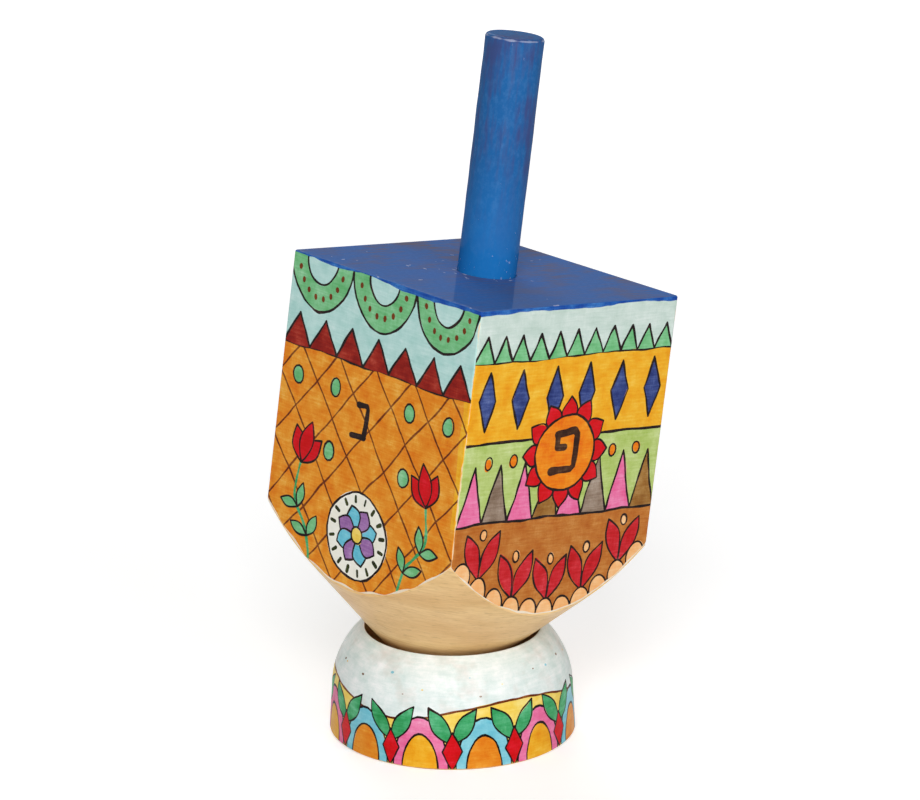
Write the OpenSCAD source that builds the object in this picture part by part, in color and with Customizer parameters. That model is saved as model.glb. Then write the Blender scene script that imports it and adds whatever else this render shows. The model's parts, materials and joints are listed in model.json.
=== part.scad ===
// Wooden dreidel leaning in a small turned stand.
// Lengths are in millimetres and angles in degrees.
// The origin is the centre of the stand's flat base, with +Z up.

/* [Block] */
// Width of the square block across its flat faces
block_side = 55; // [45:1:70]
// Height of the flat faces, measured along the block's upright edges
face_h = 52; // [40:1:65]
// Radius of the softened upright edges
edge_r = 0.6; // [0.2:0.1:1.5]
// Radius of the softened edges round the top face
top_edge_r = 0.4; // [0.2:0.1:1]

/* [Turned belly] */
// Angle between the belly's straight flank and the dreidel's own axis
flank_angle = 47; // [44:0.5:50]
// Height from where the flanks would meet up to the lower ends of the upright edges
belly_h = 37.5; // [36.5:0.5:39]
// Radius of the rounded point
point_r = 3; // [1:0.5:4]

/* [Handle] */
// Diameter of the dowel
handle_d = 12; // [8:0.5:16]
// Length of the dowel above the block
handle_h = 48.5; // [30:1:60]
// Depth of the blind hole that the dowel is glued in
socket_depth = 15; // [8:1:25]
// Radius of the softened edge at the dowel's free end
handle_edge_r = 0.8; // [0.3:0.1:2]
// Gap for glue between the dowel and the wall of its hole
glue_gap = 0.05; // [0.02:0.01:0.1]

/* [Stand] */
// Diameter of the stand's base
base_d = 50.4; // [46:0.2:60]
// Height of the stand
stand_h = 22; // [20:1:28]
// Height of the nearly upright wall below the rounded shoulder
wall_h = 9; // [6:0.5:12]
// How far the wall draws in between the base and the shoulder
wall_draw_in = 0.5; // [0.2:0.1:1]
// Diameter of the mouth of the hollow
mouth_d = 36; // [30:0.5:38]
// Width of the flat lip round the mouth
lip_w = 0.5; // [0.3:0.1:1]
// Bevel round the bottom edge
base_bevel = 0.4; // [0.2:0.1:1]

/* [Resting place] */
// How far the dreidel leans from upright
lean = 8.5; // [4:0.1:14]
// Direction of the lean, counted from +X towards +Y
lean_toward = 38; // [0:1:359]
// Turn of the block about its own axis
turn = -47; // [-180:0.5:180]
// Gap left where the dreidel rests on the stand
seat_gap = 0.2; // [0.1:0.05:0.4]

/* [Hidden] */
$fn = 96;

// How deep the dreidel sits, as a share of the depth where it would touch the mouth on both sides
seat_share = 0.97;
// One overrun for shapes that are cut away or trimmed
overrun = 1;
// Number of straight steps in each drawn arc
arc_steps = 10;

// The dreidel in its own frame: the flanks' meeting point is at zero, and the axis is Z
half_side = block_side / 2;
corner_r = (half_side - edge_r) * sqrt(2) + edge_r;
block_top = belly_h + face_h;
socket_floor = block_top - socket_depth;
handle_top = block_top + handle_h;
point_centre = point_r / sin(flank_angle);

// The belly's flank is straight up to the middle of the faces, then swells a little up to the corners
swell_start = [half_side, half_side / tan(flank_angle)];
swell_chord = [corner_r, belly_h] - swell_start;
flank_rise = 90 - flank_angle;
swell_turn = 2 * (atan2(swell_chord.y, swell_chord.x) - flank_rise);
swell_r = norm(swell_chord) / (2 * sin(swell_turn / 2));

// Where the dreidel sits: its low side reaches the mouth on the side that it leans to
low_slope = tan(flank_angle + lean);
high_slope = tan(flank_angle - lean);
mouth_reach = mouth_d / 2 - seat_gap / cos(flank_angle + lean);
seat_depth = seat_share * 2 * mouth_reach / (low_slope + high_slope);
seat_offset = mouth_reach - seat_depth * low_slope;

// The stand's outline
base_r = base_d / 2;
shoulder_r = base_r - wall_draw_in;
mouth_r = mouth_d / 2;
rim_r = mouth_r + lip_w;
shoulder_w = shoulder_r - rim_r;
shoulder_h = stand_h - wall_h;
dome_r = (shoulder_w * shoulder_w + shoulder_h * shoulder_h) / (2 * shoulder_w);
dome_end = atan2(shoulder_h, dome_r - shoulder_w);

// The hollow's floor lies just under the rounded point and reaches a little past it
floor_z = stand_h - seat_depth + point_centre * cos(lean) - point_r - seat_gap;
floor_r = abs(seat_offset + point_centre * sin(lean)) + point_r;

// Points along an arc, from one angle to another
function arc(centre, radius, from, to) = [
    for (i = [0 : arc_steps])
        let (angle = from + (to - from) * i / arc_steps)
        centre + radius * [cos(angle), sin(angle)]
];

// Points of the swelling flank, whose slope grows evenly
function swell() = [
    for (i = [0 : arc_steps])
        let (slope = flank_rise + swell_turn * i / arc_steps)
        swell_start + swell_r * [sin(slope) - sin(flank_rise), cos(flank_rise) - cos(slope)]
];

// Points down the coved side of the hollow, from the mouth to the floor
function cove() = [
    for (i = [0 : arc_steps])
        let (angle = 90 * i / arc_steps)
        [floor_r + (mouth_r - floor_r) * cos(angle), stand_h - (stand_h - floor_z) * sin(angle)]
];

// Moves a piece from the dreidel's own frame to where it leans in the stand
module leaning() {
    translate([seat_offset * cos(lean_toward), seat_offset * sin(lean_toward), stand_h - seat_depth])
        rotate([0, 0, lean_toward])
        rotate([0, lean, 0])
        rotate([0, 0, turn - lean_toward])
        children();
}

// A square with round corners, centred on the origin
module soft_square(side, radius) {
    square([side - 2 * radius, side], center = true);
    square([side, side - 2 * radius], center = true);
    for (x = [-1, 1], y = [-1, 1])
        translate([x * (side / 2 - radius), y * (side / 2 - radius)])
        circle(radius);
}

// An upright slab as wide as the block, with softened top edges, seen from one side
module soft_top_slab() {
    rotate([90, 0, 0])
        linear_extrude(block_side + 2 * overrun, center = true) {
            translate([-half_side, 0])
                square([block_side, block_top - top_edge_r]);
            translate([top_edge_r - half_side, 0])
                square([block_side - 2 * top_edge_r, block_top]);
            for (x = [-1, 1])
                translate([x * (half_side - top_edge_r), block_top - top_edge_r])
                circle(top_edge_r);
        }
}

// The solid of revolution that the lathe leaves: rounded point, flank, swell and clear sides
module turned_form() {
    rotate_extrude()
        polygon(concat(
            arc([0, point_centre], point_r, -90, -flank_angle),
            swell(),
            [[corner_r + overrun, belly_h], [corner_r + overrun, block_top + overrun],
             [0, block_top + overrun]]
        ));
}

module block() {
    color([0.86, 0.55, 0.22])
    leaning()
    difference() {
        intersection() {
            linear_extrude(block_top + overrun) soft_square(block_side, edge_r);
            soft_top_slab();
            rotate([0, 0, 90]) soft_top_slab();
            turned_form();
        }
        translate([0, 0, socket_floor])
            cylinder(h = socket_depth + overrun, d = handle_d + 2 * glue_gap);
    }
}

module handle() {
    color([0.12, 0.34, 0.66])
    leaning()
    rotate_extrude()
        polygon(concat(
            [[0, socket_floor], [handle_d / 2, socket_floor]],
            arc([handle_d / 2 - handle_edge_r, handle_top - handle_edge_r], handle_edge_r, 0, 90),
            [[0, handle_top]]
        ));
}

module stand() {
    color([0.8, 0.89, 0.9])
    rotate_extrude()
        polygon(concat(
            [[0, 0], [base_r - base_bevel, 0], [base_r, base_bevel]],
            arc([shoulder_r - dome_r, wall_h], dome_r, 0, dome_end),
            cove(),
            [[0, floor_z]]
        ));
}

stand();
block();
handle();
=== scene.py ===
"""Hand-painted wooden dreidel that leans in a small turned stand, for Blender 4.5.

Names that end in _mm hold millimetres. The block and the handle are drawn in the dreidel's own frame,
where the flanks of its point meet at zero and the handle is +Z. Paint is drawn on flat sheets and then
laid on the wood. Meshes are in metres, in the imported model's frame.
"""
import json
from math import acos, asin, atan, atan2, ceil, copysign, cos, degrees
from math import dist, hypot, pi, radians, sin, sqrt, tan

import bpy
from mathutils import Matrix, Vector, noise
from mathutils.geometry import delaunay_2d_cdt


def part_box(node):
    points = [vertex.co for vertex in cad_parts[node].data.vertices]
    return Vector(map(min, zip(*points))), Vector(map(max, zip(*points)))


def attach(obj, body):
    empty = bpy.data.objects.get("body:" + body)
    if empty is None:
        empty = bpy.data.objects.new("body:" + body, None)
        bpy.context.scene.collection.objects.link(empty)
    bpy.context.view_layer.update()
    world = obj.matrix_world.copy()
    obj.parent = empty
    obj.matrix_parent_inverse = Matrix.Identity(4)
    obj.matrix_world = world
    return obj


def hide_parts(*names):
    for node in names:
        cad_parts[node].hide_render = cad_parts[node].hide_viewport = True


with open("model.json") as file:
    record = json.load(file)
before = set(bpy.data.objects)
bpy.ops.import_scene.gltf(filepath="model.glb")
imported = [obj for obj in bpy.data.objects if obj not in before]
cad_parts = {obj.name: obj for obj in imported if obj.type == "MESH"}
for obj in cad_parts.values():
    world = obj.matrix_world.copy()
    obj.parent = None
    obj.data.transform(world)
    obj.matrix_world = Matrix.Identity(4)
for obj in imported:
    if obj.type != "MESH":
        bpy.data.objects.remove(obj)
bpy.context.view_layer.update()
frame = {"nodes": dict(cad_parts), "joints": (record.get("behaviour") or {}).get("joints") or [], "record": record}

MM = 0.001

# The photograph's frame, where the centre of the stand's base lies in it, and how steeply it is seen there
IMAGE_SIZE = (920, 800)
BASE_PIXEL = (452.5, 724)
FOCAL_PIXELS = 5000
BASE_DEPTH = 1.028
BASE_ELEVATION = 21.9
SENSOR_WIDTH_MM = 36

# The studio, in metres and watts: each lamp's name, place, size and power, then the world and the floor
LAMPS = (
    ("key_lamp", (-0.1, -1.3, 1.1), 0.6, 11.5),
    ("fill_lamp", (0.8, -1.0, 0.7), 0.8, 4),
    ("front_lamp", (0.1, -1.5, 0.35), 0.7, 6),
    ("back_lamp", (-0.2, 1.3, 0.8), 0.8, 9),
)
WORLD_LIGHT = 0.2
FLOOR_HALF = 4
FLOOR_COLOUR = (0.8, 0.8, 0.8, 1.0)
WHITE = (1.0, 1.0, 1.0, 1.0)

# How the dreidel rests: its lean, where it leans to, and its turn about its own axis
LEAN = 8.5
LEAN_TOWARD = 38
TURN = -47

# The block
EDGE_R_MM = 0.6
TOP_EDGE_R_MM = 0.4
FLANK_ANGLE = 47
BELLY_H_MM = 37.5
POINT_R_MM = 3
SOCKET_DEPTH_MM = 15
GLUE_GAP_MM = 0.05

# The handle, and how far its wood is from round
HANDLE_EDGE_R_MM = 0.8
UNEVEN_MM = 0.09

# The stand
STAND_WALL_H_MM = 9
STAND_DRAW_IN_MM = 0.5
STAND_BEVEL_MM = 0.4
MOUTH_R_MM = 18
LIP_W_MM = 0.5

# Paint: how thick it lies, how deep it reaches into the wood, the bare strip left below it, the fringe of
# primer that shows along a face's foot, and how far the blue of the top laps over the edges onto the faces
PAINT_MM = 0.12
PAINT_BACK_MM = 0.16
BARE_STRIP_MM = 0.3
FRINGE_MM = 0.35
LAP_MM = 0.75

# Steps of the hand-drawn shapes, how far a hand strays and how fast, and its smaller tremor
SPACING_MM = 1.1
DRIFT_MM = 0.5
DRIFT_PER_MM = 0.11
TREMOR_MM = 0.16
TREMOR_PER_MM = 0.36

# Fills and lines stray by different ways
FILL_HAND = 0.4
LINE_HAND = 0.0

# Brush lines: their usual widths, how much a width varies and how fast, and the bend where a stroke ends
FINE_MM = 0.42
PEN_MM = 0.5
BROAD_MM = 0.55
STEM_MM = 0.75
PRESS_SHARE = 0.5
PRESS_PER_MM = 0.35
SHARP_BEND = 50

# How blotchy lines and the ground of a face are, where 1 is usual
MOTTLE = 1.2

PAINTS = {
    "pale_blue": (201, 218, 210),
    "sky": (181, 219, 214),
    "dome_white": (228, 238, 236),
    "off_white": (242, 240, 228),
    "primer": (243, 228, 205),
    "mint": (119, 190, 133),
    "green": (64, 163, 104),
    "lime": (181, 201, 118),
    "brick": (143, 26, 14),
    "ochre": (229, 143, 36),
    "yellow_orange": (237, 172, 36),
    "yellow": (241, 211, 100),
    "orange": (233, 127, 14),
    "peach": (244, 185, 124),
    "scarlet": (209, 8, 22),
    "crimson": (197, 31, 40),
    "pink": (232, 114, 162),
    "lilac": (158, 114, 171),
    "turquoise": (104, 191, 213),
    "light_blue": (128, 201, 218),
    "dark_blue": (52, 68, 128),
    "brown": (187, 113, 45),
    "taupe": (154, 108, 50),
    "grey": (144, 124, 107),
    "dark_green": (39, 45, 12),
    "blue": (34, 92, 172),
    "chip": (176, 182, 208),
    "ink": (24, 10, 8),
    "brown_ink": (112, 50, 12),
    "letter": (57, 30, 14),
}

# Tones of wear, blue paint and beech, as the shader takes them
STAIN = (0.55, 0.47, 0.40, 1.0)
RUBBED_WOOD = (0.82, 0.62, 0.38, 1.0)
FOOT_BLUE = (0.012, 0.20, 0.56, 1.0)
TOP_TONES = ((0.044, 0.136, 0.41, 1.0), (0.050, 0.168, 0.50, 1.0), (0.14, 0.115, 0.16, 1.0))
HANDLE_TONES = ((0.014, 0.115, 0.34, 1.0), (0.04, 0.16, 0.40, 1.0), (0.05, 0.065, 0.20, 1.0))
BEECH_DARK = (0.80, 0.49, 0.20, 1.0)
BEECH_LIGHT = (0.95, 0.66, 0.31, 1.0)
BEECH_RING = (0.69, 0.41, 0.17, 1.0)
BEECH_FLECK = (0.52, 0.29, 0.11, 1.0)

# Letters as brush strokes, in shares of the letter's height about its centre
LETTERS = {
    "nun": [[(-0.2, 0.43), (0.12, 0.46), (0.15, 0.36), (0.12, -0.4)], [(0.13, -0.43), (-0.34, -0.45)]],
    "gimel": [[(-0.22, 0.42), (0.08, 0.46), (0.14, 0.3), (0.14, -0.1), (0.3, -0.45)],
              [(0.12, -0.12), (-0.28, -0.43)]],
    "he": [[(-0.4, 0.42), (0.32, 0.44), (0.36, 0.36), (0.32, -0.46)], [(-0.3, 0.16), (-0.32, -0.46)]],
    "pe": [[(-0.3, 0.4), (0.22, 0.45), (0.31, 0.36), (0.29, -0.36), (0.2, -0.43), (-0.36, -0.45)],
           [(-0.28, 0.4), (-0.24, 0.1), (-0.02, 0.1)]],
}

# A chip's outline, for a size of one
CHIP = ((-0.7, -0.2), (0.1, -0.34), (0.8, -0.1), (0.35, 0.3), (-0.5, 0.25))


def linear(rgb):
    """A colour as the shader takes it, from values of 0 to 255."""
    shares = [value / 255 for value in rgb]
    return tuple(s / 12.92 if s <= 0.04045 else ((s + 0.055) / 1.055) ** 2.4 for s in shares)


COLOURS = {name: linear(rgb) for name, rgb in PAINTS.items()}

# Places and sizes that come from the frame

joint = frame["joints"][0]
own = (
    Matrix.Translation(Vector(joint["pos_m"]))
    @ Matrix.Rotation(radians(LEAN_TOWARD), 4, "Z")
    @ Matrix.Rotation(radians(LEAN), 4, "Y")
    @ Matrix.Rotation(radians(TURN - LEAN_TOWARD), 4, "Z")
)
upright = Matrix.Identity(4)


def own_points_mm(node):
    """A CAD node's points in the dreidel's own frame, in millimetres."""
    inverse = own.inverted()
    return [inverse @ v.co / MM for v in frame["nodes"][node].data.vertices]


block_points = own_points_mm("block")
HALF_SIDE_MM = max(p.x for p in block_points)
BLOCK_TOP_MM = max(p.z for p in block_points)
HANDLE_TOP_MM = max(p.z for p in own_points_mm("handle"))
HANDLE_R_MM = frame["record"]["mounts"][1]["dims"]["r_mm"]
STAND_H_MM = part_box("stand")[1].z / MM
BASE_R_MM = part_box("stand")[1].x / MM

FLAT_HALF_MM = HALF_SIDE_MM - EDGE_R_MM
SOCKET_R_MM = HANDLE_R_MM + GLUE_GAP_MM
SOCKET_FLOOR_MM = BLOCK_TOP_MM - SOCKET_DEPTH_MM
POINT_CENTRE_MM = POINT_R_MM / sin(radians(FLANK_ANGLE))

# A face's paint goes half way round each rounded edge, measured along the curve
SIDE_BEND_MM = EDGE_R_MM * pi / 4
TOP_BEND_MM = TOP_EDGE_R_MM * pi / 4
FACE_HALF_MM = FLAT_HALF_MM + SIDE_BEND_MM

# The flank is straight as far as the middle of the faces, then swells up to the corners
SWELL_START = Vector((HALF_SIDE_MM, HALF_SIDE_MM / tan(radians(FLANK_ANGLE))))
SWELL_CHORD = Vector((FLAT_HALF_MM * sqrt(2) + EDGE_R_MM, BELLY_H_MM)) - SWELL_START
FLANK_RISE = radians(90 - FLANK_ANGLE)
SWELL_TURN = 2 * (atan2(SWELL_CHORD.y, SWELL_CHORD.x) - FLANK_RISE)
SWELL_R_MM = SWELL_CHORD.length / (2 * sin(SWELL_TURN / 2))

# The stand's outline: a nearly upright wall, then a round shoulder up to the flat lip
SHOULDER_R_MM = BASE_R_MM - STAND_DRAW_IN_MM
RIM_R_MM = MOUTH_R_MM + LIP_W_MM
SHOULDER_W_MM = SHOULDER_R_MM - RIM_R_MM
SHOULDER_H_MM = STAND_H_MM - STAND_WALL_H_MM
DOME_R_MM = (SHOULDER_W_MM ** 2 + SHOULDER_H_MM ** 2) / (2 * SHOULDER_W_MM)
DOME_TURN = atan2(SHOULDER_H_MM, DOME_R_MM - SHOULDER_W_MM)
WALL_LINE = Vector((-STAND_DRAW_IN_MM, STAND_WALL_H_MM - STAND_BEVEL_MM))
DOME_MM = DOME_R_MM * DOME_TURN

# The stand's paint is drawn on a flat ring, whose outer edge is the wall's foot
STAND_SHEET_R_MM = 40


def belly_height(radius):
    """Height of the turned belly at that distance from the axis."""
    if radius < POINT_R_MM * cos(radians(FLANK_ANGLE)):
        return POINT_CENTRE_MM - sqrt(POINT_R_MM ** 2 - radius ** 2)
    if radius < SWELL_START.x:
        return radius / tan(radians(FLANK_ANGLE))
    slope = asin(sin(FLANK_RISE) + (radius - SWELL_START.x) / SWELL_R_MM)
    return SWELL_START.y + SWELL_R_MM * (cos(FLANK_RISE) - cos(slope))


def soft_square_radius(angle, inset):
    """Distance from the axis to the block's side at that angle, drawn in by inset."""
    folded = abs((angle + pi / 4) % (pi / 2) - pi / 4)
    side = HALF_SIDE_MM - inset
    if side * tan(folded) <= FLAT_HALF_MM:
        return side / cos(folded)
    middle = FLAT_HALF_MM * (cos(folded) + sin(folded))
    beyond = 2 * FLAT_HALF_MM ** 2 - (EDGE_R_MM - inset) ** 2
    return middle + sqrt(middle ** 2 - beyond)


# Flat shapes, as lists of points in millimetres

def circle(u, v, radius, upright_radius=None, start=0, end=360, step=12):
    """Points round a circle, an ellipse or a part of one."""
    upright_radius = upright_radius or radius
    count = max(6, round(abs(end - start) / step))
    closed = abs(end - start) == 360
    turns = [radians(start + (end - start) * i / count) for i in range(count if closed else count + 1)]
    return [(u + radius * cos(t), v + upright_radius * sin(t)) for t in turns]


def along(u, v, angle, forward, sideways):
    """The point that lies forward and to the left of (u, v), looking along angle."""
    turn = radians(angle)
    return (u + forward * cos(turn) - sideways * sin(turn),
            v + forward * sin(turn) + sideways * cos(turn))


def leaf(u, v, length, width, angle, fullness=1.0):
    """A pointed leaf from its base; fullness above 1 moves its widest part to the tip."""
    steps = 9
    shares = [i / steps for i in range(steps + 1)]
    halves = [width / 2 * sin(pi * s ** fullness) for s in shares]
    left = [along(u, v, angle, length * s, h) for s, h in zip(shares, halves)]
    right = [along(u, v, angle, length * s, -h) for s, h in zip(shares, halves)]
    return right[:-1] + left[:0:-1]


def diamond(u, v, width, height):
    """A diamond about its centre."""
    return [(u, v - height / 2), (u + width / 2, v), (u, v + height / 2), (u - width / 2, v)]


def heart(u, v, size):
    """A heart of that width, point down."""
    steps = 28
    points = []
    for i in range(steps):
        t = 2 * pi * i / steps
        x = 16 * sin(t) ** 3
        y = 13 * cos(t) - 5 * cos(2 * t) - 2 * cos(3 * t) - cos(4 * t)
        points.append((u - x * size / 32, v + y * size / 32))
    return points


def box_shape(left, low, right, high):
    """A rectangle."""
    return [(left, low), (right, low), (right, high), (left, high)]


def curve(points):
    """A smooth line through the points."""
    steps = 6
    ends = [points[0]] + points + [points[-1]]
    smooth = []
    for a, b, c, d in zip(ends, ends[1:], ends[2:], ends[3:]):
        for i in range(steps):
            t = i / steps
            smooth.append(tuple(
                0.5 * (2 * b[k] + (c[k] - a[k]) * t + (2 * a[k] - 5 * b[k] + 4 * c[k] - d[k]) * t ** 2
                       + (3 * b[k] - a[k] - 3 * c[k] + d[k]) * t ** 3) for k in (0, 1)))
    return smooth + [points[-1]]


def heading(start, end):
    """The angle from one point to another."""
    return degrees(atan2(end[1] - start[1], end[0] - start[0]))


def spaced(points, closed):
    """The same line with points no further apart than the spacing."""
    following = points[1:] + points[:1] if closed else points[1:]
    result = []
    for a, b in zip(points, following):
        count = max(1, ceil(dist(a, b) / SPACING_MM))
        result += [(a[0] + (b[0] - a[0]) * i / count, a[1] + (b[1] - a[1]) * i / count) for i in range(count)]
    return result if closed else result + [points[-1]]


def places_across(count):
    """The width and the middles of that many equal places, side by side across a face."""
    pitch = 2 * HALF_SIDE_MM / count
    return pitch, [(i + 0.5) * pitch - HALF_SIDE_MM for i in range(count)]


def stray(x, y, z):
    """A smooth random offset on the sheet, the same in every run."""
    return Vector((noise.noise((x, y, z)), noise.noise((x + 31.7, y - 17.3, z + 5.1))))


class Coat:
    """One coat of paint: shapes laid over each other on a flat sheet, where the last one covers."""

    def __init__(self, seed, to_sheet=None):
        """to_sheet gives a drawn point's place on the sheet, where the two aren't the same."""
        self.seed = seed
        self.to_sheet = to_sheet or (lambda u, v: Vector((u, v)))
        self.points = []
        self.shapes = []
        self.paints = []
        self.guides = []

    def shape(self, points, paint, mottle):
        """Adds a shape in sheet coordinates, run round to the left. A paint of None cuts a hole."""
        first = len(self.points)
        turned = sum(a.cross(b) for a, b in zip(points, points[1:] + points[:1]))
        self.points += points if turned > 0 else points[::-1]
        self.shapes.append(list(range(first, len(self.points))))
        self.paints.append((paint, mottle))

    def guide(self, points):
        """Adds a fold line in sheet coordinates, where the coat can bend."""
        first = len(self.points)
        self.points += points
        self.guides += [(first + i, first + i + 1) for i in range(len(points) - 1)]

    def drifted(self, point, hand):
        """Where an unsteady hand puts a point."""
        spot = self.to_sheet(*point)
        drift = stray(spot.x * DRIFT_PER_MM, spot.y * DRIFT_PER_MM, self.seed + hand)
        tremor = stray(spot.x * TREMOR_PER_MM, spot.y * TREMOR_PER_MM, self.seed + hand)
        return spot + DRIFT_MM * drift + TREMOR_MM * tremor

    def fill(self, points, paint, mottle=1.0):
        """Paint inside a drawn outline."""
        self.shape([self.drifted(p, FILL_HAND) for p in spaced(points, True)], paint, mottle)

    def line(self, points, width=PEN_MM, paint="ink", closed=False):
        """A brush line with round ends, whose width varies a little."""
        path = spaced(points, closed)
        if closed:
            path.append(path[0])
        path = [self.drifted(p, LINE_HAND) for p in path]
        run = [path[0]]
        for before, here, after in zip(path, path[1:], path[2:] + [None]):
            run.append(here)
            if after is None or (here - before).angle(after - here, 0) > radians(SHARP_BEND):
                self.ribbon(run, width, paint)
                run = [here]

    def ribbon(self, path, width, paint):
        """Quads along a smooth path, with a disc at each end."""
        sides = []
        for i, here in enumerate(path):
            ahead = (path[min(i + 1, len(path) - 1)] - path[max(i - 1, 0)]).normalized()
            press = noise.noise((here.x * PRESS_PER_MM, here.y * PRESS_PER_MM, self.seed + 7))
            half = width / 2 * (1 + PRESS_SHARE * press)
            across = Vector((-ahead.y, ahead.x)) * half
            sides.append((here + across, here - across))
            if i in (0, len(path) - 1):
                self.shape([here + Vector(p) for p in circle(0, 0, half, step=45)], paint, MOTTLE)
        first = len(self.points)
        for pair in sides:
            self.points += pair
        for i in range(len(sides) - 1):
            left = first + 2 * i
            self.shapes.append([left, left + 1, left + 3, left + 2])
            self.paints.append((paint, MOTTLE))

    def outlined(self, points, paint, width=PEN_MM, closed=True):
        """A fill with an ink line round it, or open between its last point and its first."""
        self.fill(points, paint)
        self.line(points, width, closed=closed)

    # Motifs

    def letter(self, name, u, v, height, ink="ink", width=1.25):
        """A letter about its centre."""
        for stroke in LETTERS[name]:
            self.line([(u + a * height, v + b * height) for a, b in stroke], width, ink)

    def lattice(self, low, high, width, height, line_width=0.3):
        """Crossing diagonal lines between two heights."""
        reach = HALF_SIDE_MM + width
        slope = height / width
        count = ceil(reach / width + (high - low) / height)
        for i in range(-count, count + 1):
            for way in (-1, 1):
                u = i * width
                far = u + way * (high - low) / slope
                if max(u, far) > -reach and min(u, far) < reach:
                    self.line([(u, low), (far, high)], line_width, "brown_ink")

    def dots(self, places, radius, paint):
        """Upright oval dots."""
        for u, v in places:
            self.outlined(circle(u, v, radius, radius * 1.25, step=30), paint, FINE_MM)

    def rosette(self, u, v, radius, petals=("turquoise", "lilac")):
        """A round flower in a pale ring of short dark rays."""
        count = 8
        self.outlined(circle(u, v, radius), "off_white")
        for i in range(2 * count):
            angle = 180 * i / count + 11
            self.line([along(u, v, angle, radius * share, 0) for share in (0.78, 0.9)], STEM_MM, "dark_green")
        for i in range(count):
            angle = 360 * i / count + 22
            self.outlined(leaf(u, v, radius * 0.7, radius * 0.46, angle, 1.5), petals[i % 2], FINE_MM)
        self.outlined(circle(u, v, radius * 0.2, step=30), "yellow", FINE_MM)

    def sunburst(self, u, v, radius, petal, centre, count=12, reach=1.45):
        """A disc with a crown of petals."""
        for i in range(count):
            angle = 360 * i / count + 90
            foot = along(u, v, angle, radius * 0.8, 0)
            width = 2 * pi * radius / count * 1.05
            self.outlined(leaf(*foot, radius * (reach - 0.8), width, angle, 0.8), petal, FINE_MM)
        self.outlined(circle(u, v, radius), centre)

    def sprig(self, points, paint, leaf_paint="mint", flower=7.5):
        """A curved stem with pairs of leaves, and a flower of three petals at its end."""
        stem = curve(points)
        self.line(stem, STEM_MM, "green")
        for share in (0.3, 0.58):
            i = int(share * (len(stem) - 1))
            ahead = heading(stem[i], stem[i + 1])
            for side in (-1, 1):
                self.outlined(leaf(*stem[i], 5.2, 2.3, ahead + side * 48), leaf_paint, 0.4)
        ahead = heading(stem[-2], stem[-1])
        for turn, share in ((30, 0.85), (-30, 0.85), (0, 1)):
            self.outlined(leaf(*stem[-1], flower * share, flower * 0.42, ahead + turn), paint, FINE_MM)

    def teeth(self, low, high, count, paint):
        """A row of saw teeth across the face."""
        width = 2 * HALF_SIDE_MM / count
        for i in range(count):
            u = i * width - HALF_SIDE_MM
            self.outlined([(u, low), (u + width / 2, high), (u + width, low)], paint, BROAD_MM, False)

    def garland(self, v, drop, count, paint, inside):
        """Swags that hang side by side, each with a row of dots along its middle."""
        pitch, middles = places_across(count)
        for u in middles:
            for share, filling in ((1, paint), (0.5, inside)):
                swag = circle(u, v, pitch / 2 * share, drop * share, 180, 360, 10)
                self.outlined(swag, filling, closed=False)
            for angle in range(200, 360, 20):
                turn = radians(angle)
                place = (u + pitch * 0.37 * cos(turn), v + drop * 0.74 * sin(turn))
                self.fill(circle(*place, 0.5, 0.65, step=45), "brown_ink", 0.5)

    def scallops(self, v, radius, count, paint, inner_ink="brown_ink", down=True):
        """A row of half discs that hang from a line, or stand on it."""
        ends = (180, 360) if down else (0, 180)
        pitch, middles = places_across(count)
        for u in middles:
            self.outlined(circle(u, v, pitch / 2, radius, *ends), paint, closed=False)
            self.line(circle(u, v, pitch * 0.26, radius * 0.52, *ends), FINE_MM, inner_ink)

    def frieze(self, low, high, count, paint, share):
        """A row of diamonds between two heights, each as wide as its share of its place."""
        pitch, middles = places_across(count)
        for u in middles:
            self.outlined(diamond(u, (low + high) / 2, pitch * share, (high - low) * 0.86), paint)

    def band(self, low, high, paint):
        """A band right across the face, with a line along its lower edge."""
        reach = HALF_SIDE_MM + 3
        self.fill(box_shape(-reach, low, reach, high), paint)
        self.line([(-reach, low), (reach, low)], BROAD_MM)


# The four painted faces. On a sheet, u runs to the right and v up from the foot of the upright edges.

def face_foot(u):
    """Height on the sheet of the edge between a face and the belly."""
    return belly_height(hypot(HALF_SIDE_MM, u)) - BELLY_H_MM


def nun_face(art, top):
    """A lattice with a rosette between flowering sprigs, under saw teeth and a garland."""
    art.fill(box_shape(25.9, 8, 31, 36), "yellow_orange")
    art.lattice(-18, 36, 11, 13, 0.4)
    for side in (-1, 1):
        art.dots([(side * 22, 27.5), (side * 11, 27.5), (side * 11, 14.5)], 1.5, "mint")
        stem = [(side * 13, -10), (side * 15, -3), (side * 19.5, 3), (side * 18.5, 10)]
        art.sprig(stem, "scarlet", flower=9)
    art.rosette(0, -0.6, 8.8)
    art.letter("nun", -2.2, 22.4, 7.4)
    art.band(33.5, top + 3, "sky")
    art.teeth(33.5, 40, 7, "brick")
    art.garland(top + 0.2, 10.8, 3, "mint", "sky")


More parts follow.
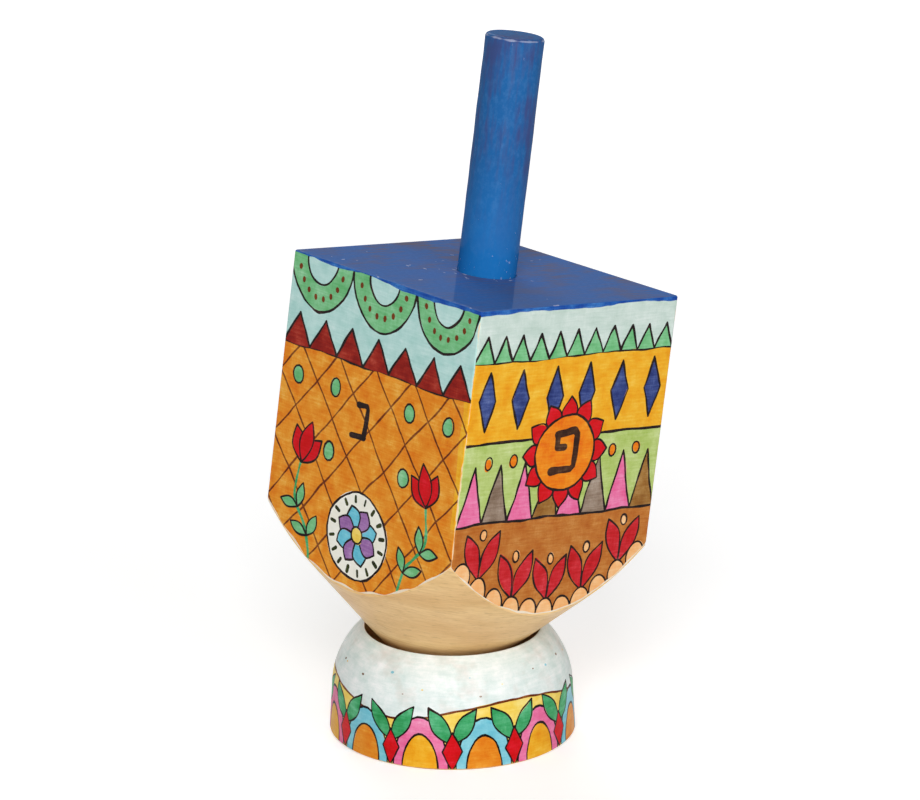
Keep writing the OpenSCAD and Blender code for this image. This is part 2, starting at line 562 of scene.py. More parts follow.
def pe_face(art, top):
    """A medallion on a row of triangles, with a frieze and saw teeth above and sprouts below."""
    art.fill(box_shape(-31, -15, 31, 9), "brown", 0.8)
    for u in (-19.6, -9.8, 0, 9.8, 19.6):
        v = face_foot(u) + 2.6
        for side in (-1, 1):
            art.outlined(leaf(u, v, 10.5, 3.8, 90 + side * 25, 1.15), "crimson", FINE_MM)
        art.dots([(u, v + 10.5 * 0.85)], 0.9, "peach")
    for i in range(-5, 6):
        art.outlined(circle(4.9 * i, face_foot(4.9 * i), 2.45, 3.2), "peach", FINE_MM)
    art.band(8.5, 25, "lime")
    pitch, middles = places_across(8)
    for i, u in enumerate(middles):
        paint = ("pink", "grey", "pink", "taupe")[i % 4]
        art.outlined([(u - pitch / 2, 8.5), (u + pitch / 2, 8.5), (u, 20.5)], paint)
    art.dots([(pitch * i, 21) for i in range(-3, 4)], 1.0, "orange")
    art.band(25, 41.5, "yellow_orange")
    art.frieze(26.5, 40.5, 6, "dark_blue", 0.5)
    art.sunburst(0.3, 21.6, 8.0, "scarlet", "orange")
    art.letter("pe", 0.4, 22, 9.4, "letter", 1.55)
    art.band(41.5, top + 3, "pale_blue")
    art.teeth(41.5, 46.6, 11, "mint")


def he_face(art, top):
    """A large flower between sprigs, over a row of hearts."""
    art.fill(box_shape(-31, -15, 31, 8), "ochre", 1.3)
    for u in (-18.6, -9.3, 0, 9.3, 18.6):
        art.outlined(heart(u, face_foot(u) + 7.5, 6.4), "crimson")
    for u in (-13.95, -4.65, 4.65, 13.95):
        art.fill(circle(u, face_foot(u) + 9.5, 0.8, 1.0, step=40), "dark_green", 0.5)
    art.band(6.5, 37, "yellow_orange")
    art.teeth(6.5, 10.5, 10, "lime")
    for side in (-1, 1):
        stem = [(side * 22.5, 9), (side * 19, 15), (side * 21, 21), (side * 18.5, 26)]
        art.sprig(stem, "turquoise", "green")
        art.outlined(diamond(side * 11.5, 32.4, 3.2, 5.6), "lilac", FINE_MM)
        art.outlined(diamond(side * 11.5, 14.6, 2.8, 4.6), "scarlet", FINE_MM)
    art.sunburst(0, 23, 7.4, "pink", "yellow", 10, 1.6)
    art.letter("he", 0, 23, 8.6, "letter", 1.5)
    art.band(37, top + 3, "pale_blue")
    art.scallops(37, 5.6, 7, "brick", "yellow", down=False)
    art.band(45.5, top + 3, "mint")
    art.dots([(5.5 * i, 49) for i in range(-5, 6, 2)], 1.0, "dark_blue")
    art.dots([(5.5 * i, 49) for i in range(-4, 5, 2)], 1.0, "yellow")


def gimel_face(art, top):
    """A lattice with two rosettes over a scalloped foot."""
    art.fill(box_shape(-31, -15, 31, 36), "yellow", 1.2)
    art.lattice(-18, 36, 9.17, 10)
    art.rosette(-14.5, 8, 7.6, ("scarlet", "orange"))
    art.rosette(13, 3.5, 8.6)
    art.dots([(-18.3, 27), (18.3, 27), (-9.2, 17), (9.2, 17), (0, 7), (0, -3)], 1.4, "mint")
    art.letter("gimel", 1, 23, 8.4)
    art.band(33.5, top + 3, "light_blue")
    art.frieze(34.5, 43.5, 7, "yellow_orange", 0.72)
    art.band(44.5, top + 3, "brick")
    art.scallops(top, 5, 7, "pale_blue")
    art.scallops(-14, 6, 5, "mint", down=False)


def stand_art(art):
    """Half discs, leaves and diamonds round the stand's foot, below a pale shoulder with a few specks."""
    turn_mm = 2 * pi * BASE_R_MM
    motifs, specks, steps = 12, 34, 96
    pitch = turn_mm / motifs
    crest = [(turn_mm * i / steps, 11.6 + 1.8 * sin(2 * pi * i / 32)) for i in range(steps + 1)]
    art.fill(crest + [(turn_mm - u, -2) for u, _ in crest], "yellow")
    art.line(crest, 0.45, "brown_ink")
    for i in range(specks):
        u = turn_mm * (i + 0.5 + 0.9 * noise.noise((i * 5.3, 1.5, 0.5))) / specks
        v = 17.5 + 9 * noise.noise((i * 3.9, 6.5, 0.5))
        radius = 0.12 + 0.4 * abs(noise.noise((i * 4.7, 8.5, 0.5)))
        paint = ("light_blue", "grey", "yellow", "dome_white", "grey")[i % 5]
        art.fill(circle(u, v, 1.6 * radius, radius, step=60), paint, 2.2)
    for i in range(motifs):
        u = (i + 0.5) * pitch
        outer, inner = (("light_blue", "ochre"), ("pink", "yellow_orange"))[i % 2]
        art.outlined(circle(u, -0.5, 5.9, 11), outer)
        art.outlined(circle(u, -0.5, 3.8, 7.4), inner)
    for i in range(motifs):
        u = (i + 1) * pitch
        for side in (-1, 1):
            art.outlined(leaf(u, 5, 9, 3.4, 90 + side * 34), "green", 0.4)
        art.outlined(diamond(u, 3.6, 4, 8), "scarlet", 0.45)


# Surfaces that the sheets are laid on: each gives a point in millimetres and the outward direction

def face_surface(direction):
    """The block's side that faces that way, from one upright edge's middle to the next."""
    outward = Vector((cos(direction), sin(direction), 0))
    right = Vector((-outward.y, outward.x, 0))
    upward = Vector((0, 0, 1))

    def place(spot):
        u, height = spot.x, spot.y + BELLY_H_MM
        turn = max(0, abs(u) - FLAT_HALF_MM) / EDGE_R_MM
        rise = max(0, height - (BLOCK_TOP_MM - TOP_EDGE_R_MM)) / TOP_EDGE_R_MM
        inset = TOP_EDGE_R_MM * (1 - cos(rise))
        level = min(height, BLOCK_TOP_MM - TOP_EDGE_R_MM) + TOP_EDGE_R_MM * sin(rise)
        reach = EDGE_R_MM - inset
        sideways = min(abs(u), FLAT_HALF_MM) + reach * sin(turn)
        side = copysign(1, u)
        point = right * side * sideways + outward * (FLAT_HALF_MM + reach * cos(turn)) + upward * level
        flat = right * side * sin(turn) + outward * cos(turn)
        return point, flat * cos(rise) + upward * sin(rise)

    return place


def top_surface(spot):
    """The block's top, rounded down at its rim."""
    beyond = Vector((max(abs(spot.x) - FLAT_HALF_MM, 0), max(abs(spot.y) - FLAT_HALF_MM, 0)))
    nearest = max(abs(spot.x), abs(spot.y)) - FLAT_HALF_MM
    inset = EDGE_R_MM - (beyond.length if nearest > 0 else nearest)
    if nearest <= 0 or inset >= TOP_EDGE_R_MM:
        return Vector((spot.x, spot.y, BLOCK_TOP_MM)), Vector((0, 0, 1))
    fall = acos(min(1, max(0, 1 - inset / TOP_EDGE_R_MM)))
    level = BLOCK_TOP_MM - TOP_EDGE_R_MM * (1 - sin(fall))
    flat = Vector((copysign(beyond.x, spot.x), copysign(beyond.y, spot.y), 0)).normalized()
    return Vector((spot.x, spot.y, level)), flat * cos(fall) + Vector((0, 0, sin(fall)))


def stand_sheet(u, v):
    """A point of the stand's unrolled wall, on a sheet seen from above. The front is at u = 0."""
    turn = u / BASE_R_MM - pi / 2
    return Vector((cos(turn), sin(turn))) * (STAND_SHEET_R_MM - v)


def stand_surface(spot):
    """The stand's wall, shoulder and lip."""
    v = STAND_SHEET_R_MM - spot.length
    out = Vector((spot.x, spot.y, 0)).normalized()
    if v <= WALL_LINE.length:
        share = v / WALL_LINE.length
        radius = BASE_R_MM + WALL_LINE.x * share
        level = STAND_BEVEL_MM + WALL_LINE.y * share
        return out * radius + Vector((0, 0, level)), out
    turn = min((v - WALL_LINE.length) / DOME_R_MM, DOME_TURN)
    on_lip = v - WALL_LINE.length - DOME_MM
    radius = SHOULDER_R_MM - DOME_R_MM * (1 - cos(turn)) - max(0, on_lip)
    level = STAND_WALL_H_MM + DOME_R_MM * sin(turn)
    facing = turn if on_lip < 0.05 else pi / 2
    return out * radius + Vector((0, 0, level)), out * cos(facing) + Vector((0, 0, sin(facing)))


# Making objects

def linked(name, data):
    """A new object in the scene."""
    made = bpy.data.objects.new(name, data)
    bpy.context.scene.collection.objects.link(made)
    return made


def add_piece(name, mesh, material, body, slot, *replaced):
    """Links a mesh as a piece of the object, on its body's empty, and hides the CAD parts it replaces."""
    piece = linked(name, mesh)
    mesh.materials.append(material)
    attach(piece, body)
    if replaced:
        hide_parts(*replaced)


def fill_attribute(mesh, name, kind, domain, values):
    """Stores one value for each point or corner, which the materials read by name."""
    layer = mesh.attributes.new(name, kind, domain)
    field = "color" if kind == "FLOAT_COLOR" else "vector"
    layer.data.foreach_set(field, [number for value in values for number in value])


def visible_triangles(coat):
    """The points of the sheet cut along every outline, and each triangle with the shape on top there."""
    triangles_inside = 1
    merge_mm = 1e-5
    points, _, triangles, _, _, owners = delaunay_2d_cdt(
        coat.points, coat.guides, coat.shapes, triangles_inside, merge_mm, True)
    boxes = []
    for shape in coat.shapes:
        across, up = zip(*(coat.points[i] for i in shape))
        boxes.append((min(across), max(across), min(up), max(up)))
    visible = []
    for triangle, owner in zip(triangles, owners):
        a, b, c = (points[i] for i in triangle)
        middle = (a + b + c) / 3
        on_top = -1
        for i in owner:
            left, right, low, high = boxes[i]
            if i > on_top and left <= middle.x <= right and low <= middle.y <= high:
                on_top = i
        if 0 not in owner or coat.paints[on_top][0] is None:
            continue
        turned = (b - a).cross(c - a)
        visible.append((tuple(triangle) if turned > 0 else tuple(reversed(triangle)), on_top))
    return points, visible


def lay_coat(name, coat, surface, to_row, material, body, slot, solid_spots=False):
    """Lays what shows of a coat on a surface, as a closed skin that reaches a little into the wood.

    Its brush marks follow the flat sheet, or the surface in space where solid_spots is set.
    """
    points, visible = visible_triangles(coat)
    used = sorted({i for triangle, _ in visible for i in triangle})
    index = {old: new for new, old in enumerate(used)}
    placed = [surface(points[i]) for i in used]
    count = len(used)
    outer = [to_row @ (point * MM) for point, _ in placed]
    inner = [to_row @ ((point - outward * PAINT_BACK_MM) * MM) for point, outward in placed]
    turn = to_row.to_3x3()
    outwards = [turn @ outward for _, outward in placed]

    faces, shapes, normals = [], [], []
    shape_of_edge = {}
    for triangle, shape in visible:
        front = [index[i] for i in triangle]
        faces += [front, [i + count for i in reversed(front)]]
        normals += [outwards[i] for i in front] + [-outwards[i] for i in reversed(front)]
        shapes += [shape] * 6
        for edge in zip(front, front[1:] + front[:1]):
            shape_of_edge[edge] = shape
    for (a, b), shape in shape_of_edge.items():
        if (b, a) not in shape_of_edge:
            faces.append([a + count, b + count, b, a])
            normals += [(outer[b] - outer[a]).cross(outwards[a]).normalized()] * 4
            shapes += [shape] * 4

    mesh = bpy.data.meshes.new(name)
    mesh.from_pydata(outer + inner, [], faces)
    mesh.shade_smooth()
    mixed = [(*COLOURS[paint], mottle) for paint, mottle in (coat.paints[i] for i in shapes)]
    fill_attribute(mesh, "paint", "FLOAT_COLOR", "CORNER", mixed)
    spots = [place[0] if solid_spots else (*points[i], 0) for i, place in zip(used, placed)]
    fill_attribute(mesh, "spot", "FLOAT_VECTOR", "POINT", spots * 2)
    mesh.normals_split_custom_set(normals)
    add_piece(name, mesh, material, body, slot)


def add_turned(name, rows, to_row, material, body, slot, node, sharp_angle=35):
    """Adds a piece made of rings that follow each other, where a ring of one point closes an end."""
    points, starts = [], []
    for row in rows:
        starts.append(len(points))
        points += row
    faces = []
    for row, following, start, next_start in zip(rows, rows[1:], starts, starts[1:]):
        count = max(len(row), len(following))
        for i in range(count):
            j = (i + 1) % count
            low = [start + i, start + j] if len(row) > 1 else [start]
            high = [next_start + j, next_start + i] if len(following) > 1 else [next_start]
            faces.append(low + high)
    mesh = bpy.data.meshes.new(name)
    mesh.from_pydata([to_row @ (p * MM) for p in points], [], faces)
    fill_attribute(mesh, "spot", "FLOAT_VECTOR", "POINT", points)
    mesh.shade_smooth()
    mesh.set_sharp_from_angle(angle=radians(sharp_angle))
    add_piece(name, mesh, material, body, slot, node)


def on_axis(z):
    """A ring of one point."""
    return [Vector((0, 0, z))]


def ring(turns, radii, heights):
    """A ring of points about the axis."""
    return [Vector((r * cos(t), r * sin(t), z)) for t, r, z in zip(turns, radii, heights)]


def arc(radius, level, across, rise, end, steps):
    """Distances and heights along a part of an ellipse about (radius, level), after its outermost point."""
    turns = [end * i / steps for i in range(1, steps + 1)]
    return [(radius + across * cos(t), level + rise * sin(t)) for t in turns]


# Materials

class Finish:
    """A material's node tree, with short calls for the nodes that the finishes share."""

    def __init__(self, name):
        self.material = bpy.data.materials.new(name)
        self.material.use_nodes = True
        self.tree = self.material.node_tree
        self.shader = self.tree.nodes["Principled BSDF"]

    def put(self, socket, value):
        """Links another node's output to a socket, or sets its value."""
        if isinstance(value, bpy.types.NodeSocket):
            self.tree.links.new(value, socket)
        else:
            socket.default_value = value

    def node(self, kind, inputs=None, **settings):
        """A new node with its inputs and settings."""
        made = self.tree.nodes.new(kind)
        for key, value in settings.items():
            setattr(made, key, value)
        for key, value in (inputs or {}).items():
            self.put(made.inputs[key], value)
        return made

    def attribute(self, name, output):
        """What the mesh stores under a name."""
        return self.node("ShaderNodeAttribute", attribute_name=name).outputs[output]

    def noise(self, vector, scales, detail=2.0, roughness=0.5):
        """Smooth noise about 0.5, with its scale along each axis in waves per millimetre."""
        stretched = self.node("ShaderNodeVectorMath", {0: vector, 1: scales}, operation="MULTIPLY")
        return self.node("ShaderNodeTexNoise", {
            "Vector": stretched.outputs[0], "Scale": 1.0, "Detail": detail, "Roughness": roughness,
        }).outputs["Fac"]

    def span(self, value, low, high, to_low=0.0, to_high=1.0):
        """Value carried over from one range to another, and held inside it."""
        return self.node("ShaderNodeMapRange", {
            "Value": value, "From Min": low, "From Max": high, "To Min": to_low, "To Max": to_high,
        }).outputs[0]

    def calc(self, operation, a, b=0.0, c=0.0):
        """One step of arithmetic."""
        return self.node("ShaderNodeMath", {0: a, 1: b, 2: c}, operation=operation).outputs[0]

    def mix(self, factor, a, b):
        """Colour a, covered by colour b as far as the factor says."""
        return self.node("ShaderNodeMix", {0: factor, 6: a, 7: b}, data_type="RGBA").outputs[2]

    def dress(self, *values):
        """Sets the shader's colour, roughness and gloss, then its varnish and how rough that is."""
        names = ("Base Color", "Roughness", "Specular IOR Level", "Coat Weight", "Coat Roughness")
        for name, value in zip(names, values):
            self.put(self.shader.inputs[name], value)

    def relief(self, height, depth_mm):
        """Brush marks or grain that the light catches."""
        bump = self.node("ShaderNodeBump", {"Height": height, "Strength": 1.0, "Distance": depth_mm * MM})
        self.put(self.shader.inputs["Normal"], bump.outputs[0])


def paint_finish(name, strokes, crossing, edge_mm=None):
    """Brushed paint under satin varnish, coloured by the coat's shapes and rubbed off near an edge."""
    finish = Finish(name)
    spot = finish.attribute("spot", "Vector")
    mottle = finish.attribute("paint", "Alpha")
    blotch = finish.noise(spot, (0.24, 0.24, 0.24), 3.0, 0.6)
    stroke = finish.noise(spot, strokes, 2.0, 0.6)
    thread = finish.noise(spot, crossing, 2.0, 0.6)
    fine = finish.noise(spot, (3.5, 3.5, 3.5), 2.0, 0.7)
    brushed = finish.calc("MULTIPLY_ADD", thread, 0.25, finish.calc("MULTIPLY", fine, 0.35))
    brushed = finish.calc("MULTIPLY_ADD", stroke, 0.65, brushed)
    usual = 0.5 * (0.25 + 0.35 + 0.65 + 1.3)
    uneven = finish.calc("SUBTRACT", finish.calc("MULTIPLY_ADD", blotch, 1.3, brushed), usual)
    strength = finish.calc("MULTIPLY_ADD", uneven, mottle, 1.0)
    colour = finish.attribute("paint", "Color")
    colour = finish.node("ShaderNodeGamma", {"Color": colour, "Gamma": strength}).outputs[0]
    stain = finish.span(finish.noise(spot, (0.13, 0.13, 0.16), 3.0, 0.6), 0.5, 0.72, 0.0, 0.5)
    stain = finish.calc("MULTIPLY", stain, finish.span(mottle, 1.4, 2.2))
    colour = finish.mix(stain, colour, STAIN)
    if edge_mm:
        across = finish.node("ShaderNodeSeparateXYZ", {0: spot}).outputs[0]
        to_edge = finish.calc("SUBTRACT", edge_mm, finish.calc("ABSOLUTE", across))
        reach = finish.span(finish.noise(spot, (0.9, 0.1, 1.0), 4.0, 0.6), 0.42, 0.68, -0.1, 0.5)
        bare = finish.span(finish.calc("SUBTRACT", reach, to_edge), 0.0, 0.1)
        colour = finish.mix(bare, colour, RUBBED_WOOD)
    finish.dress(colour, finish.span(fine, 0.2, 0.8, 0.38, 0.55), 0.05, 0.13, 0.14)
    finish.relief(finish.calc("ADD", brushed, stroke), 0.04)
    return finish.material


def blue_finish(name, strokes, tones, streak_share, rim_mm=None):
    """Blue paint in tones for its body, its mottle and its brush streaks, with a few chips.

    The top has no rim: its dull streaks grow towards the back, a painted reflection that darkens the top there,
    and its chips are shapes of the coat. The handle has one: its blue is brighter and less streaked towards the
    foot, its chips are specks, and a pale band round its rim is a painted highlight drawn like rubbed paint.
    """
    finish = Finish(name)
    spot = finish.attribute("spot", "Vector")
    across, back, height = finish.node("ShaderNodeSeparateXYZ", {0: spot}).outputs
    streak = finish.noise(spot, strokes, 4.0, 0.6)
    broad = finish.noise(spot, (0.09, 0.09, 0.09))
    fine = finish.noise(spot, (1.1, 1.1, 0.8), 4.0, 0.7)
    body, mottle, dull = tones
    colour = finish.mix(finish.span(fine, 0.45, 0.72, 0.0, 0.8), body, mottle)
    patch = finish.span(finish.calc("ADD", streak, broad), 0.92, 1.2, 0.0, streak_share)
    if rim_mm:
        # Fewer dull streaks towards the handle's foot.
        shown = finish.span(height, BLOCK_TOP_MM, BLOCK_TOP_MM + 22, 0.1, 1.0)
    else:
        # Painted reflection: the top's dull streaks grow towards the back corner, so the back looks darker.
        shown = finish.span(finish.calc("SUBTRACT", back, across), -30, 20, 0.3, 1.0)
    colour = finish.mix(finish.calc("MULTIPLY", patch, shown), colour, dull)
    if rim_mm:
        # Brighter, bluer paint towards the handle's foot.
        toward_foot = finish.span(height, BLOCK_TOP_MM, BLOCK_TOP_MM + 24, 0.75, 0.0)
        colour = finish.mix(toward_foot, colour, FOOT_BLUE)
        near_foot = finish.span(height, BLOCK_TOP_MM, BLOCK_TOP_MM + 9, 0.08, 0.0)
        speck = finish.calc("ADD", finish.noise(spot, (0.75, 0.75, 0.4), 5.0, 0.75), near_foot)
        # A pale band round the top rim: partly rubbed paint, partly a painted highlight along the rim.
        off_rim = finish.calc("ABSOLUTE", finish.calc("SUBTRACT", height, rim_mm))
        rim_band_sway = finish.calc("MULTIPLY_ADD", finish.noise(spot, (0.4, 0.4, 0.4), 3.0), -1.1, 0.75)
        rubbed_and_highlit_rim = finish.span(finish.calc("ADD", off_rim, rim_band_sway), 0.2, 0.4, 0.6, 0.0)
        pale_marks = finish.calc("MAXIMUM", finish.span(speck, 0.685, 0.7, 0.0, 0.75), rubbed_and_highlit_rim)
    else:
        pale_marks = finish.calc("SUBTRACT", 1.0, finish.attribute("paint", "Alpha"))
    colour = finish.mix(pale_marks, colour, (*COLOURS["chip"], 1.0))
    finish.dress(colour, 0.45, 0.0, 0.1, 0.04)
    finish.relief(finish.calc("MULTIPLY_ADD", fine, 0.5, streak), 0.015)
    return finish.material


def wood_finish(name):
    """Turned beech: fine flecks that run round the piece, under thin varnish."""
    finish = Finish(name)
    spot = finish.attribute("spot", "Vector")
    tone = finish.noise(spot, (0.05, 0.05, 0.22), 4.0)
    turning = finish.noise(spot, (0.22, 0.22, 3.2), 3.0, 0.6)
    fleck = finish.noise(spot, (0.5, 0.5, 3.4), 2.0, 0.6)
    colour = finish.mix(finish.span(tone, 0.35, 0.65), BEECH_DARK, BEECH_LIGHT)
    colour = finish.mix(finish.span(turning, 0.4, 0.75, 0.0, 0.55), colour, BEECH_RING)
    colour = finish.mix(finish.span(fleck, 0.56, 0.72, 0.0, 0.42), colour, BEECH_FLECK)
    finish.dress(colour, finish.span(turning, 0.2, 0.8, 0.4, 0.55), 0.2, 0.2, 0.15)
    finish.relief(finish.calc("ADD", turning, fleck), 0.02)
    return finish.material


# The pieces

def make_block(material):
    """The wooden block: its faces and top lie one coat of paint below the CAD surface."""
    sides = [1.5 * i for i in range(8)] + [12 + 2 * i for i in range(16)] + [43.5, 44.2, 44.6, 44.85]
    quarter = [-45] + [-a for a in sides[:0:-1]] + sides
    turns = [radians(a + quarter_turn) for quarter_turn in (0, 90, 180, 270) for a in quarter]
    reach = [soft_square_radius(t, PAINT_MM) for t in turns]
    rows = [on_axis(belly_height(0))]
    belly_steps = 44
    for i in range(1, belly_steps + 1):
        radii = [r * i / belly_steps for r in reach]
        rows.append(ring(turns, radii, [belly_height(r) for r in radii]))
    side_top = BLOCK_TOP_MM - PAINT_MM
    feet = [belly_height(r) for r in reach]
    for share in (0.1, 0.3, 0.6, 0.9, 1):
        rows.append(ring(turns, reach, [foot + (side_top - foot) * share for foot in feet]))
    for share in (0.04, 0.3, 0.6, 0.9, 1):
        rows.append(ring(turns, [r + (SOCKET_R_MM - r) * share for r in reach], [side_top] * len(turns)))
    rows.append(ring(turns, [SOCKET_R_MM] * len(turns), [SOCKET_FLOOR_MM] * len(turns)))
    rows.append(on_axis(SOCKET_FLOOR_MM))
    add_turned("block_wood", rows, own, material, "dreidel", "painted_wood", "block")


def make_face_coat(name, direction, seed, ground, draw, material):
    """One painted face, with bare wood and primer along its foot, and the top's blue lapped over it."""
    top = BLOCK_TOP_MM - TOP_EDGE_R_MM - BELLY_H_MM
    rim = top + TOP_BEND_MM
    art = Coat(seed)
    steps = 90
    foot = []
    for i in range(steps + 1):
        u = -FACE_HALF_MM + 2 * FACE_HALF_MM * i / steps
        lift = BARE_STRIP_MM * (1 + 0.9 * noise.noise((u * 0.3, seed, 0.5)))
        foot.append(Vector((u, face_foot(u) + lift)))
    art.shape(foot + [Vector((FACE_HALF_MM, rim)), Vector((-FACE_HALF_MM, rim))], ground, MOTTLE)
    for bend in (0, 0.5):
        fold = FLAT_HALF_MM + SIDE_BEND_MM * bend
        for side in (-1, 1):
            art.guide([Vector((side * fold, -2)), Vector((side * fold, rim))])
        level = top + TOP_BEND_MM * bend
        art.guide([Vector((-FACE_HALF_MM, level)), Vector((FACE_HALF_MM, level))])
    draw(art, BLOCK_TOP_MM - BELLY_H_MM)
    lap, fringe = [], []
    for low in foot:
        sway = 1.2 * noise.noise((low.x * 0.09, seed, 3.3)) + 0.25 * noise.noise((low.x * 0.5, seed, 7.7))
        lap.append(Vector((low.x, rim - LAP_MM * (1 + sway))))
        bare = max(0.05, 0.8 + 1.6 * noise.noise((low.x * 0.25, seed, 9.1)))
        fringe.append(low + Vector((0, FRINGE_MM * bare)))
    art.shape([Vector((FACE_HALF_MM, rim + 1)), Vector((-FACE_HALF_MM, rim + 1))] + lap, "blue", MOTTLE)
    art.shape([p - Vector((0, 1)) for p in foot] + fringe[::-1], "primer", MOTTLE)
    lay_coat(name, art, face_surface(radians(direction)), own, material, "dreidel", "painted_wood")


def chip_place(i, lot):
    """Where a chip lies: in a loose scatter, round the handle's foot, at the rim or anywhere."""
    if i < 16:
        return Vector((-10, -10)) + 34 * lot
    if i >= 36:
        return 42 * lot
    if i < 26:
        place = Vector((7.4, 0)) + 3 * lot
        turn = radians(-15 - 14 * (i - 16))
    else:
        place = Vector((27.3, 40 * lot.x))
        turn = pi / 2 * (i % 4)
    place.rotate(Matrix.Rotation(turn, 2))
    return place


def make_top_coat(material):
    """The blue top, with a hole where the handle goes in."""
    art = Coat(5)
    steps = 6
    for fall in (45, 67.5, 90):
        inset = TOP_EDGE_R_MM * (1 - cos(radians(fall)))
        outline = []
        for quarter in range(4):
            start = quarter * pi / 2
            corner = start + pi / 4
            centre = Vector((cos(corner), sin(corner))) * FLAT_HALF_MM * sqrt(2)
            for i in range(steps + 1):
                angle = start + pi / 2 * i / steps
                outline.append(centre + Vector((cos(angle), sin(angle))) * (EDGE_R_MM - inset))
        art.shape(outline, "blue", 1.0)
    for i in range(46):
        lot = stray(i * 7.37, 0.5, 0.5)
        size = 0.3 + 1.1 * abs(noise.noise((i * 3.71, 9.5, 2.5)))
        place = chip_place(i, lot)
        art.shape([place + size * Vector(along(0, 0, 200 * lot.y, *p)) for p in CHIP], "chip", 0.3)
    art.shape([Vector(p) for p in circle(0, 0, SOCKET_R_MM, step=5)], None, 1.0)
    lay_coat("top_paint", art, top_surface, own, material, "dreidel", "blue_paint")


def make_handle(material):
    """The dowel: not quite even, with a softened end."""
    steps = 50
    low, high = SOCKET_FLOOR_MM, HANDLE_TOP_MM - HANDLE_EDGE_R_MM
    outline = [(HANDLE_R_MM, low + (high - low) * i / steps) for i in range(steps + 1)]
    outline += arc(HANDLE_R_MM - HANDLE_EDGE_R_MM, high, HANDLE_EDGE_R_MM, HANDLE_EDGE_R_MM, pi / 2, 8)
    outline += [(HANDLE_R_MM * share, HANDLE_TOP_MM) for share in (0.7, 0.45, 0.2)]
    turns = [2 * pi * i / 96 for i in range(96)]
    rows = [on_axis(SOCKET_FLOOR_MM)]
    for radius, z in outline:
        reach = []
        for turn in turns:
            spot = Vector((cos(turn), sin(turn), z * 0.12))
            uneven = UNEVEN_MM * (noise.noise(spot * 1.6) - 0.6)
            reach.append(max(0.5, radius + min(0, uneven)))
        rows.append(ring(turns, reach, [z] * len(turns)))
    rows.append(on_axis(HANDLE_TOP_MM))
    add_turned("handle_dowel", rows, own, material, "dreidel", "blue_paint", "handle", 60)


def make_stand(wood, paint):
    """The turned cup, whose hollow's floor comes from the frame, and the coat of paint on its outside."""
    points = [v.co for v in frame["nodes"]["stand"].data.vertices]
    floor_mm = min(p.z for p in points if p.z > 5 * MM) / MM
    floor_r_mm = max(hypot(p.x, p.y) for p in points if abs(p.z / MM - floor_mm) < 0.01) / MM
    side = BASE_R_MM - PAINT_MM
    dome = DOME_R_MM - PAINT_MM
    outline = [(side - STAND_BEVEL_MM, 0)]
    outline += [(side + WALL_LINE.x * share, STAND_BEVEL_MM + WALL_LINE.y * share) for share in (0, 0.5, 1)]
    outline += arc(SHOULDER_R_MM - DOME_R_MM, STAND_WALL_H_MM, dome, dome, DOME_TURN, 16)
    outline.append((MOUTH_R_MM, STAND_H_MM - PAINT_MM))
    outline += arc(floor_r_mm, STAND_H_MM, MOUTH_R_MM - floor_r_mm, floor_mm - STAND_H_MM, pi / 2, 16)
    turns = [2 * pi * i / 128 for i in range(128)]
    rows = [on_axis(0)] + [ring(turns, [r] * len(turns), [z] * len(turns)) for r, z in outline]
    rows.append(on_axis(floor_mm))
    add_turned("stand_wood", rows, upright, wood, "stand", "painted_stand", "stand")

    art = Coat(11, stand_sheet)
    end = WALL_LINE.length + DOME_MM + LIP_W_MM * 0.8
    around = [2 * pi * BASE_R_MM * i / 144 for i in range(144)]
    art.shape([stand_sheet(u, 0) for u in around], "dome_white", 2.2)
    for v in [0.5, 1] + [WALL_LINE.length + DOME_MM * i / 12 for i in range(13)]:
        art.guide([stand_sheet(u, v) for u in around + around[:1]])
    for u in around[::2]:
        art.guide([stand_sheet(u, 0), stand_sheet(u, end)])
    stand_art(art)
    art.shape([stand_sheet(u, end) for u in around], None, 1.0)
    lay_coat("stand_paint", art, stand_surface, upright, paint, "stand", "painted_stand", True)


# The studio

def make_camera():
    """The photograph's camera, placed by where the stand's base lies in the picture."""
    data = bpy.data.cameras.new("photo_camera")
    data.sensor_width = SENSOR_WIDTH_MM
    data.lens = FOCAL_PIXELS / IMAGE_SIZE[0] * SENSOR_WIDTH_MM
    data.clip_end = 20
    camera = linked("photo_camera", data)
    across = (BASE_PIXEL[0] - IMAGE_SIZE[0] / 2) / FOCAL_PIXELS
    below = (BASE_PIXEL[1] - IMAGE_SIZE[1] / 2) / FOCAL_PIXELS
    rise = radians(BASE_ELEVATION) - atan(below)
    forward = Vector((0, cos(rise), -sin(rise)))
    up = Vector((0, sin(rise), cos(rise)))
    camera.location = -forward * BASE_DEPTH + up * (below * BASE_DEPTH) - Vector((across * BASE_DEPTH, 0, 0))
    camera.rotation_euler = (pi / 2 - rise, 0, 0)
    bpy.context.scene.camera = camera


def make_lamp(name, place, size, watts):
    """A square soft lamp that faces the block."""
    data = bpy.data.lights.new(name, "AREA")
    data.size = size
    data.energy = watts
    lamp = linked(name, data)
    lamp.location = place
    aim = Vector((0, 0, BLOCK_TOP_MM / 2 * MM)) - Vector(place)
    lamp.rotation_euler = aim.to_track_quat("-Z", "Y").to_euler()


def seen_ray(tree):
    """One for rays of the camera, a gloss or glass, and zero for the rays that light things."""
    path = tree.nodes.new("ShaderNodeLightPath")
    seen = path.outputs["Is Camera Ray"]
    for kind in ("Is Glossy Ray", "Is Transmission Ray"):
        either = tree.nodes.new("ShaderNodeMath")
        either.operation = "MAXIMUM"
        tree.links.new(seen, either.inputs[0])
        tree.links.new(path.outputs[kind], either.inputs[1])
        seen = either.outputs[0]
    return seen


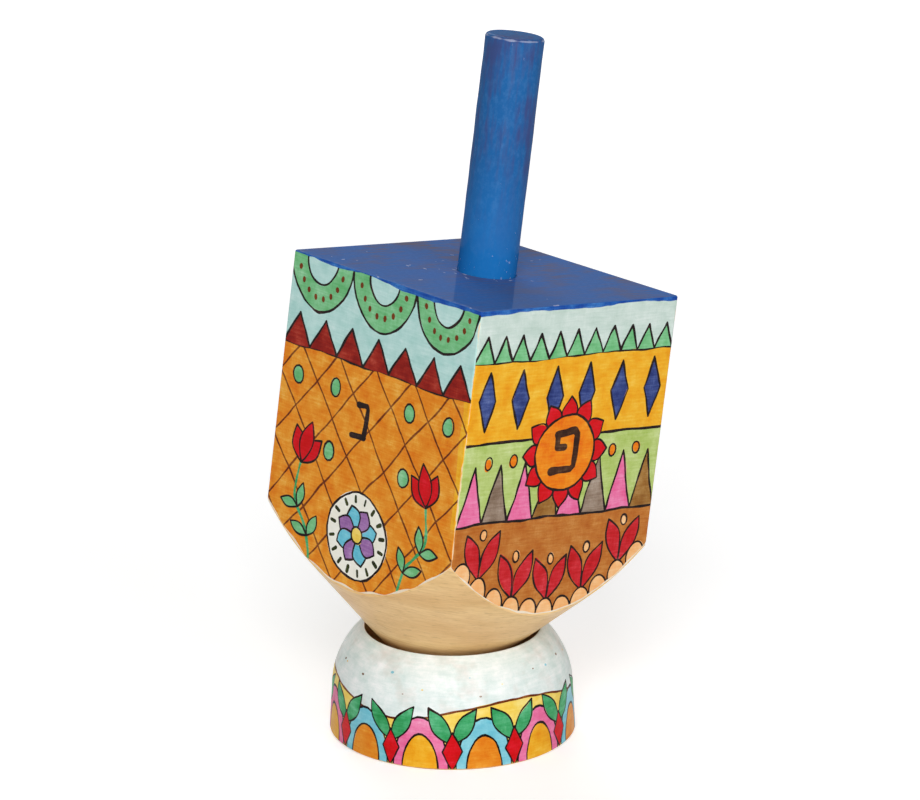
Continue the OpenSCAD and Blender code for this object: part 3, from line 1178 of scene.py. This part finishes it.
def make_floor():
    """A pale floor that looks white and keeps the object's shadow. Far off, past the lamps, it glows more."""
    corners = [(x, y, 0) for x, y in box_shape(-FLOOR_HALF, -FLOOR_HALF, FLOOR_HALF, FLOOR_HALF)]
    mesh = bpy.data.meshes.new("floor")
    mesh.from_pydata(corners, [], [(0, 1, 2, 3)])
    finish = Finish("floor")
    place = finish.node("ShaderNodeNewGeometry").outputs["Position"]
    distance = finish.node("ShaderNodeVectorMath", {0: place}, operation="LENGTH").outputs["Value"]
    glow = finish.span(distance, 0.35, 1.5, 0.45, 1.0)
    seen = finish.calc("MULTIPLY", seen_ray(finish.tree), glow)
    finish.dress(FLOOR_COLOUR, 0.9, 0.0)
    finish.put(finish.shader.inputs["Emission Color"], WHITE)
    finish.put(finish.shader.inputs["Emission Strength"], seen)
    mesh.materials.append(finish.material)
    linked("floor", mesh)


def make_world():
    """Even light from all round, and white where the camera or a gloss looks past the floor."""
    world = bpy.data.worlds.new("studio")
    bpy.context.scene.world = world
    world.use_nodes = True
    tree = world.node_tree
    background = tree.nodes["Background"]
    background.inputs["Color"].default_value = WHITE
    level = tree.nodes.new("ShaderNodeMapRange")
    level.inputs["To Min"].default_value = WORLD_LIGHT
    level.inputs["To Max"].default_value = 1.0
    tree.links.new(seen_ray(tree), level.inputs["Value"])
    tree.links.new(level.outputs[0], background.inputs["Strength"])


make_camera()
make_world()
make_floor()
for lamp in LAMPS:
    make_lamp(*lamp)
bpy.context.scene.view_settings.view_transform = "Standard"

wood = wood_finish("beech")
face_paint = paint_finish("face_paint", (0.2, 2.2, 1.0), (2.6, 0.3, 1.0), FACE_HALF_MM)
stand_paint = paint_finish("stand_paint", (0.25, 0.25, 1.8), (1.4, 1.4, 0.3))
top_blue = blue_finish("top_blue", (1.3, 0.1, 1.0), TOP_TONES, 0.85)
handle_rim_mm = HANDLE_TOP_MM - HANDLE_EDGE_R_MM / 2
handle_blue = blue_finish("handle_blue", (0.9, 0.9, 0.12), HANDLE_TONES, 0.8, handle_rim_mm)

make_block(wood)
make_face_coat("nun_paint", -90, 1, "ochre", nun_face, face_paint)
make_face_coat("pe_paint", 0, 2, "yellow_orange", pe_face, face_paint)
make_face_coat("he_paint", 90, 3, "yellow_orange", he_face, face_paint)
make_face_coat("gimel_paint", 180, 4, "yellow", gimel_face, face_paint)
make_top_coat(top_blue)
make_handle(handle_blue)
make_stand(wood, stand_paint)
